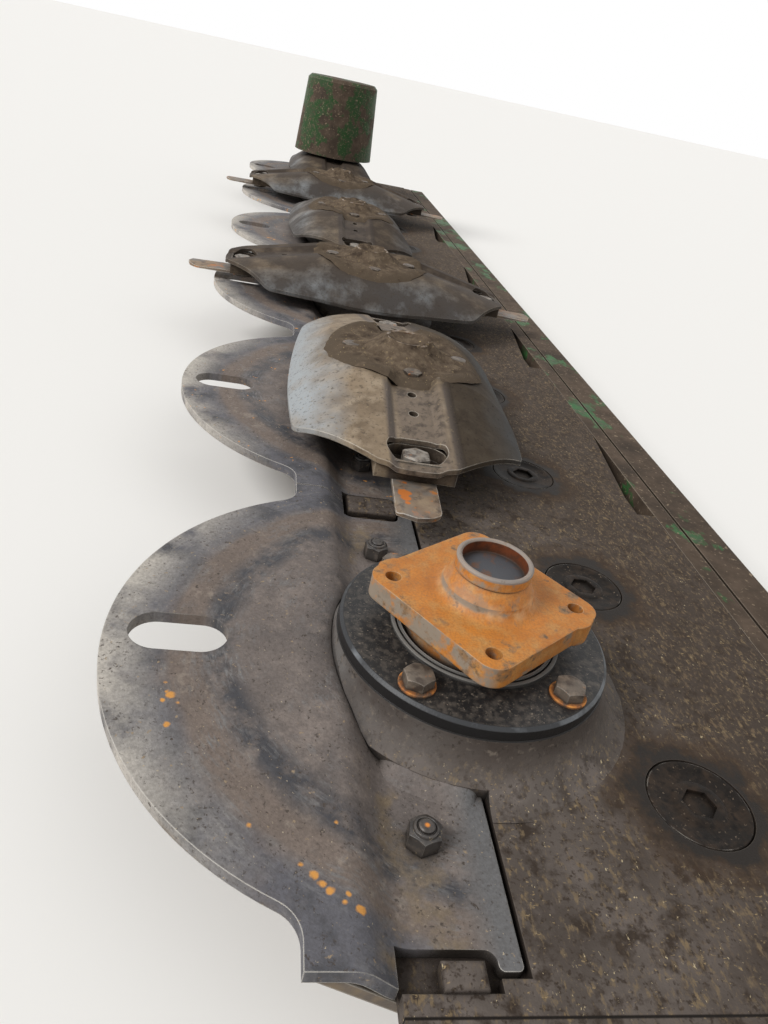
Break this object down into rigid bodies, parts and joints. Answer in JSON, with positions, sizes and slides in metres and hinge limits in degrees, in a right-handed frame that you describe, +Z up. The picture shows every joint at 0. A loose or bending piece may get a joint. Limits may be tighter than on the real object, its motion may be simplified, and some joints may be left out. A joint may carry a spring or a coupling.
{
  "type": "disc mower cutter bar",
  "caption": "Long flat cutter bar of a disc mower with oval cutting discs, swinging knives, guards, skid shoes, one bare hub and a crop drum.",
  "frame": {"origin": "on the ground under the middle of the whole bar", "axes": "+X along the bar towards its left end, where the bare hub is; -Y is the way of travel; +Z up"},
  "size_m": [2.5738, 0.5934, 0.352],
  "materials": {
    "worn_steel": "worn dark paint over steel, dusty",
    "case_steel": "dark paint under dried mud",
    "black_cast": "black painted casting",
    "orange_cast": "rust orange primer on a casting",
    "disc_steel": "hardened steel polished by crop",
    "knife_steel": "worn, rusty blade steel",
    "bolt_steel": "worn bolt steel",
    "green_paint": "green paint with brown dirt",
    "shoe_steel": "scoured steel"
  },
  "bodies": {
    "bar": {"case": "case_steel", "end_plate_left": "case_steel", "end_plate_right": "case_steel", "rear_rail": "green_paint", "guard_blocks": "worn_steel", "guard_1": "worn_steel", "skid_shoe_1": "shoe_steel", "quill_1": "black_cast", "guard_2": "worn_steel", "skid_shoe_2": "shoe_steel", "quill_2": "black_cast", "guard_3": "worn_steel", "skid_shoe_3": "shoe_steel", "quill_3": "black_cast", "guard_4": "worn_steel", "skid_shoe_4": "shoe_steel", "quill_4": "black_cast", "guard_5": "worn_steel", "skid_shoe_5": "shoe_steel", "quill_5": "black_cast", "guard_6": "worn_steel", "skid_shoe_6": "shoe_steel", "quill_6": "black_cast"},
    "rotor_1": {"hub_1": "orange_cast"},
    "rotor_2": {"hub_2": "orange_cast", "disc_2": "disc_steel", "knife_bolts_2": "bolt_steel"},
    "rotor_3": {"hub_3": "orange_cast", "disc_3": "disc_steel", "knife_bolts_3": "bolt_steel"},
    "rotor_4": {"hub_4": "orange_cast", "disc_4": "disc_steel", "knife_bolts_4": "bolt_steel"},
    "rotor_5": {"hub_5": "orange_cast", "disc_5": "disc_steel", "knife_bolts_5": "bolt_steel"},
    "rotor_6": {"hub_6": "orange_cast", "disc_6": "disc_steel", "knife_bolts_6": "bolt_steel", "drum_6": "green_paint"},
    "knife_2a": {"knife_2a": "knife_steel"},
    "knife_2b": {"knife_2b": "knife_steel"},
    "knife_3a": {"knife_3a": "knife_steel"},
    "knife_3b": {"knife_3b": "knife_steel"},
    "knife_4a": {"knife_4a": "knife_steel"},
    "knife_4b": {"knife_4b": "knife_steel"},
    "knife_5a": {"knife_5a": "knife_steel"},
    "knife_5b": {"knife_5b": "knife_steel"},
    "knife_6a": {"knife_6a": "knife_steel"},
    "knife_6b": {"knife_6b": "knife_steel"}
  },
  "joints": [
    {"name": "rotor_1_spin", "type": "hinge", "parent": "bar", "child": "rotor_1", "pos_m": [1.05745, -0.0273, 0.1182], "axis": [0, 0, 1], "continuous": true},
    {"name": "rotor_2_spin", "type": "hinge", "parent": "bar", "child": "rotor_2", "pos_m": [0.64245, -0.0273, 0.1182], "axis": [0, 0, 1], "continuous": true},
    {"name": "rotor_3_spin", "type": "hinge", "parent": "bar", "child": "rotor_3", "pos_m": [0.22745, -0.0273, 0.1182], "axis": [0, 0, 1], "continuous": true},
    {"name": "rotor_4_spin", "type": "hinge", "parent": "bar", "child": "rotor_4", "pos_m": [-0.18755, -0.0273, 0.1182], "axis": [0, 0, 1], "continuous": true},
    {"name": "rotor_5_spin", "type": "hinge", "parent": "bar", "child": "rotor_5", "pos_m": [-0.60255, -0.0273, 0.1182], "axis": [0, 0, 1], "continuous": true},
    {"name": "rotor_6_spin", "type": "hinge", "parent": "bar", "child": "rotor_6", "pos_m": [-1.01755, -0.0273, 0.1182], "axis": [0, 0, 1], "continuous": true},
    {"name": "knife_2a_swing", "type": "hinge", "parent": "rotor_2", "child": "knife_2a", "pos_m": [0.83227, -0.03559, 0.106], "axis": [0, 0, 1], "continuous": true},
    {"name": "knife_2b_swing", "type": "hinge", "parent": "rotor_2", "child": "knife_2b", "pos_m": [0.45263, -0.01901, 0.106], "axis": [0, 0, 1], "continuous": true},
    {"name": "knife_3a_swing", "type": "hinge", "parent": "rotor_3", "child": "knife_3a", "pos_m": [0.22745, 0.1627, 0.106], "axis": [0, 0, 1], "continuous": true},
    {"name": "knife_3b_swing", "type": "hinge", "parent": "rotor_3", "child": "knife_3b", "pos_m": [0.22745, -0.2173, 0.106], "axis": [0, 0, 1], "continuous": true},
    {"name": "knife_4a_swing", "type": "hinge", "parent": "rotor_4", "child": "knife_4a", "pos_m": [0.00245, -0.0273, 0.106], "axis": [0, 0, 1], "continuous": true},
    {"name": "knife_4b_swing", "type": "hinge", "parent": "rotor_4", "child": "knife_4b", "pos_m": [-0.37755, -0.0273, 0.106], "axis": [0, 0, 1], "continuous": true},
    {"name": "knife_5a_swing", "type": "hinge", "parent": "rotor_5", "child": "knife_5a", "pos_m": [-0.60255, 0.1627, 0.106], "axis": [0, 0, 1], "continuous": true},
    {"name": "knife_5b_swing", "type": "hinge", "parent": "rotor_5", "child": "knife_5b", "pos_m": [-0.60255, -0.2173, 0.106], "axis": [0, 0, 1], "continuous": true},
    {"name": "knife_6a_swing", "type": "hinge", "parent": "rotor_6", "child": "knife_6a", "pos_m": [-0.82755, -0.0273, 0.106], "axis": [0, 0, 1], "continuous": true},
    {"name": "knife_6b_swing", "type": "hinge", "parent": "rotor_6", "child": "knife_6b", "pos_m": [-1.20755, -0.0273, 0.106], "axis": [0, 0, 1], "continuous": true}
  ],
  "couplings": [
    {"joint": "rotor_2_spin", "follows": "rotor_1_spin", "ratio": -1},
    {"joint": "rotor_3_spin", "follows": "rotor_1_spin", "ratio": 1},
    {"joint": "rotor_4_spin", "follows": "rotor_1_spin", "ratio": -1},
    {"joint": "rotor_5_spin", "follows": "rotor_1_spin", "ratio": 1},
    {"joint": "rotor_6_spin", "follows": "rotor_1_spin", "ratio": -1}
  ]
}
